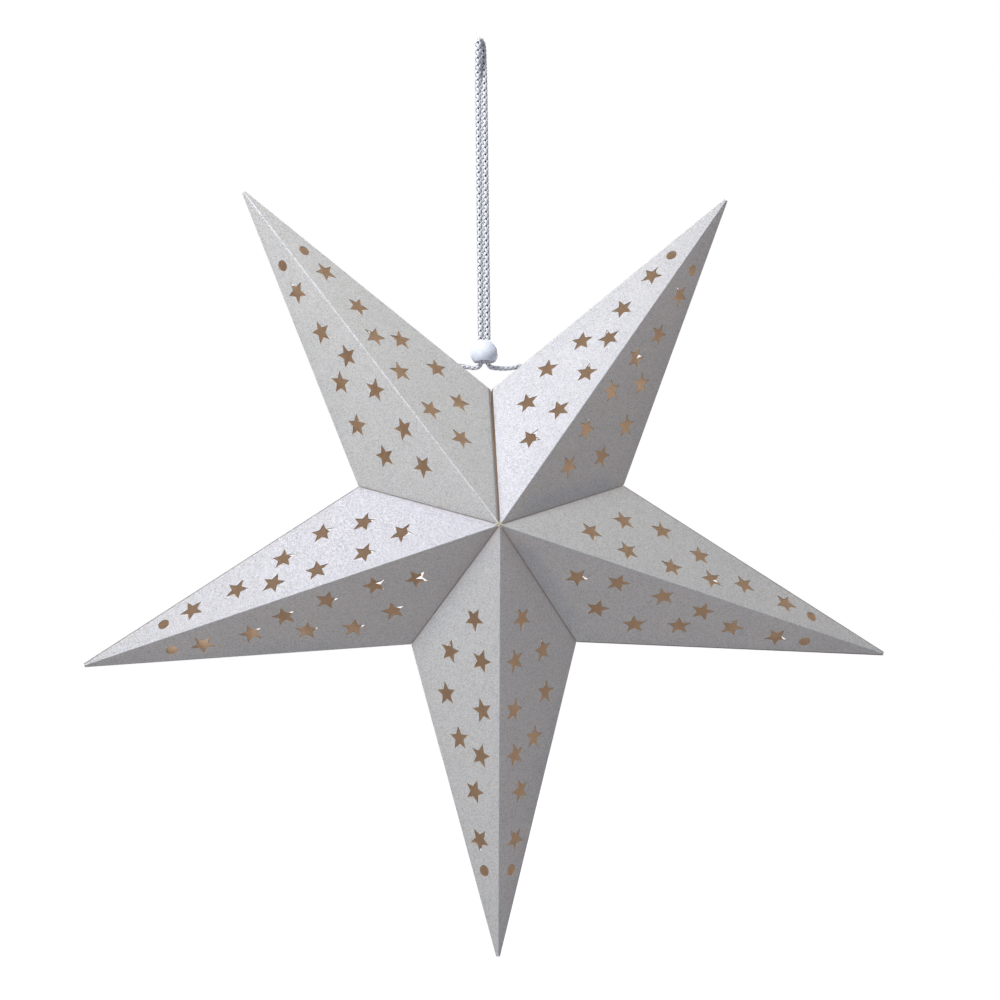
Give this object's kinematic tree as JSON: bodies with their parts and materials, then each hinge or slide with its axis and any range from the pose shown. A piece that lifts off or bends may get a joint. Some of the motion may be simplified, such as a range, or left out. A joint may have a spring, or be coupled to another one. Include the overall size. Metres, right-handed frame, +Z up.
{
  "type": "paper star lantern",
  "caption": "Hanging folded-card star lantern with star cut-outs, glued valleys, an open top seam and a beaded hanging cord; it folds like a fan.",
  "frame": {"origin": "inside top of the cord's loop, where the lantern hangs", "axes": "+Z up along the cord, the front faces -Y, and +X is to the right seen from the front"},
  "size_m": [0.2982, 0.0505, 0.345],
  "materials": {
    "card": "white pearl glitter card, kraft-brown inside",
    "kraft_tab": "bare kraft card",
    "cord": "silver metallic braid",
    "bead": "glossy pearl white"
  },
  "bodies": {
    "cord": {"hanging_cord": "cord"},
    "bead": {"bead": "bead"},
    "point_1_back_right": {"point_1_back_right": "card", "left_cord_end": "cord", "left_knot": "cord", "right_cord_end": "cord", "right_knot": "cord"},
    "point_1_back_left": {"point_1_back_left": "card", "blank_tab_1": "kraft_tab"},
    "point_1_front_right": {"point_1_front_right": "card"},
    "point_1_front_left": {"point_1_front_left": "card"},
    "point_2_back_right": {"point_2_back_right": "card", "back_valley_tab_1": "kraft_tab"},
    "point_2_back_left": {"point_2_back_left": "card", "blank_tab_2": "kraft_tab"},
    "point_2_front_right": {"point_2_front_right": "card", "front_valley_tab_1": "kraft_tab"},
    "point_2_front_left": {"point_2_front_left": "card"},
    "point_3_back_right": {"point_3_back_right": "card", "back_valley_tab_2": "kraft_tab"},
    "point_3_back_left": {"point_3_back_left": "card", "blank_tab_3": "kraft_tab"},
    "point_3_front_right": {"point_3_front_right": "card", "front_valley_tab_2": "kraft_tab"},
    "point_3_front_left": {"point_3_front_left": "card"},
    "point_4_back_right": {"point_4_back_right": "card", "back_valley_tab_3": "kraft_tab"},
    "point_4_back_left": {"point_4_back_left": "card", "blank_tab_4": "kraft_tab"},
    "point_4_front_right": {"point_4_front_right": "card", "front_valley_tab_3": "kraft_tab"},
    "point_4_front_left": {"point_4_front_left": "card"},
    "point_5_back_right": {"point_5_back_right": "card", "back_valley_tab_4": "kraft_tab"},
    "point_5_back_left": {"point_5_back_left": "card", "blank_tab_5": "kraft_tab"},
    "point_5_front_right": {"point_5_front_right": "card", "front_valley_tab_4": "kraft_tab"},
    "point_5_front_left": {"point_5_front_left": "card"}
  },
  "joints": [
    {"name": "turn", "type": "hinge", "parent": "cord", "child": "point_1_back_right", "pos_m": [0, 0, -0.1224], "axis": [0, 0, 1], "range_deg": [-180, 180]},
    {"name": "bead_slide", "type": "slide", "parent": "cord", "child": "bead", "axis": [0, 0, 1], "range_m": [0, 0.09]},
    {"name": "fold", "type": "hinge", "parent": "point_1_back_right", "child": "point_1_front_right", "pos_m": [0.0024, 0, -0.134], "axis": [-0.7746, 0, 0.6324], "range_deg": [0, 106], "deforming": ["right_cord_end", "right_knot"]},
    {"name": "front_ridge_1", "type": "hinge", "parent": "point_1_front_right", "child": "point_1_front_left", "pos_m": [0.0024, -0.0255, -0.186], "axis": [0.5803, -0.1593, -0.7987], "range_deg": [0, 106]},
    {"name": "side_edge_1_left", "type": "hinge", "parent": "point_1_front_left", "child": "point_1_back_left", "pos_m": [-0.04705, 0, -0.16993], "axis": [-0.3621, 0, 0.9321], "range_deg": [0, 106]},
    {"name": "front_valley_1", "type": "hinge", "parent": "point_1_front_left", "child": "point_2_front_right", "pos_m": [0.00227, -0.02579, -0.18596], "axis": [-0.8539, 0.4403, 0.2775], "range_deg": [0, 124.05]},
    {"name": "side_edge_2_right", "type": "hinge", "parent": "point_2_front_right", "child": "point_2_back_right", "pos_m": [-0.04705, 0, -0.16993], "axis": [0.8409, 0, 0.5413], "range_deg": [0, 106]},
    {"name": "front_ridge_2", "type": "hinge", "parent": "point_2_front_right", "child": "point_2_front_left", "pos_m": [0.0024, -0.0255, -0.186], "axis": [0.9389, -0.1593, 0.3051], "range_deg": [0, 106]},
    {"name": "side_edge_2_left", "type": "hinge", "parent": "point_2_front_left", "child": "point_2_back_left", "pos_m": [-0.02816, 0, -0.22807], "axis": [-0.9984, 0, -0.0563], "range_deg": [0, 106]},
    {"name": "front_valley_2", "type": "hinge", "parent": "point_2_front_left", "child": "point_3_front_right", "pos_m": [0.00232, -0.02579, -0.18611], "axis": [-0.5277, 0.4403, -0.7264], "range_deg": [0, 124.05]},
    {"name": "side_edge_3_right", "type": "hinge", "parent": "point_3_front_right", "child": "point_3_back_right", "pos_m": [-0.02816, 0, -0.22807], "axis": [-0.2549, 0, 0.967], "range_deg": [0, 106]},
    {"name": "front_ridge_3", "type": "hinge", "parent": "point_3_front_right", "child": "point_3_front_left", "pos_m": [0.0024, -0.0255, -0.186], "axis": [0, -0.1593, 0.9872], "range_deg": [0, 106]},
    {"name": "side_edge_3_left", "type": "hinge", "parent": "point_3_front_left", "child": "point_3_back_left", "pos_m": [0.03297, 0, -0.22807], "axis": [-0.2549, 0, -0.967], "range_deg": [0, 106]},
    {"name": "front_valley_3", "type": "hinge", "parent": "point_3_front_left", "child": "point_4_front_right", "pos_m": [0.00248, -0.02579, -0.18611], "axis": [0.5277, 0.4403, -0.7264], "range_deg": [0, 124.05]},
    {"name": "side_edge_4_right", "type": "hinge", "parent": "point_4_front_right", "child": "point_4_back_right", "pos_m": [0.03297, 0, -0.22807], "axis": [-0.9984, 0, 0.0563], "range_deg": [0, 106]},
    {"name": "front_ridge_4", "type": "hinge", "parent": "point_4_front_right", "child": "point_4_front_left", "pos_m": [0.0024, -0.0255, -0.186], "axis": [-0.9389, -0.1593, 0.3051], "range_deg": [0, 106]},
    {"name": "side_edge_4_left", "type": "hinge", "parent": "point_4_front_left", "child": "point_4_back_left", "pos_m": [0.05185, 0, -0.16993], "axis": [0.8409, 0, -0.5413], "range_deg": [0, 106]},
    {"name": "front_valley_4", "type": "hinge", "parent": "point_4_front_left", "child": "point_5_front_right", "pos_m": [0.00253, -0.02579, -0.18596], "axis": [0.8539, 0.4403, 0.2775], "range_deg": [0, 124.05]},
    {"name": "side_edge_5_right", "type": "hinge", "parent": "point_5_front_right", "child": "point_5_back_right", "pos_m": [0.05185, 0, -0.16993], "axis": [-0.3621, 0, -0.9321], "range_deg": [0, 106]},
    {"name": "front_ridge_5", "type": "hinge", "parent": "point_5_front_right", "child": "point_5_front_left", "pos_m": [0.0024, -0.0255, -0.186], "axis": [-0.5803, -0.1593, -0.7987], "range_deg": [0, 106]},
    {"name": "side_edge_5_left", "type": "hinge", "parent": "point_5_front_left", "child": "point_5_back_left", "pos_m": [0.0024, 0, -0.134], "axis": [0.7746, 0, 0.6324], "range_deg": [0, 106]}
  ],
  "couplings": [
    {"joint": "front_ridge_1", "follows": "fold", "ratio": 1},
    {"joint": "side_edge_1_left", "follows": "fold", "ratio": 1},
    {"joint": "front_valley_1", "follows": "fold", "ratio": 1.17},
    {"joint": "side_edge_2_right", "follows": "fold", "ratio": 1},
    {"joint": "front_ridge_2", "follows": "fold", "ratio": 1},
    {"joint": "side_edge_2_left", "follows": "fold", "ratio": 1},
    {"joint": "front_valley_2", "follows": "fold", "ratio": 1.17},
    {"joint": "side_edge_3_right", "follows": "fold", "ratio": 1},
    {"joint": "front_ridge_3", "follows": "fold", "ratio": 1},
    {"joint": "side_edge_3_left", "follows": "fold", "ratio": 1},
    {"joint": "front_valley_3", "follows": "fold", "ratio": 1.17},
    {"joint": "side_edge_4_right", "follows": "fold", "ratio": 1},
    {"joint": "front_ridge_4", "follows": "fold", "ratio": 1},
    {"joint": "side_edge_4_left", "follows": "fold", "ratio": 1},
    {"joint": "front_valley_4", "follows": "fold", "ratio": 1.17},
    {"joint": "side_edge_5_right", "follows": "fold", "ratio": 1},
    {"joint": "front_ridge_5", "follows": "fold", "ratio": 1},
    {"joint": "side_edge_5_left", "follows": "fold", "ratio": 1}
  ]
}
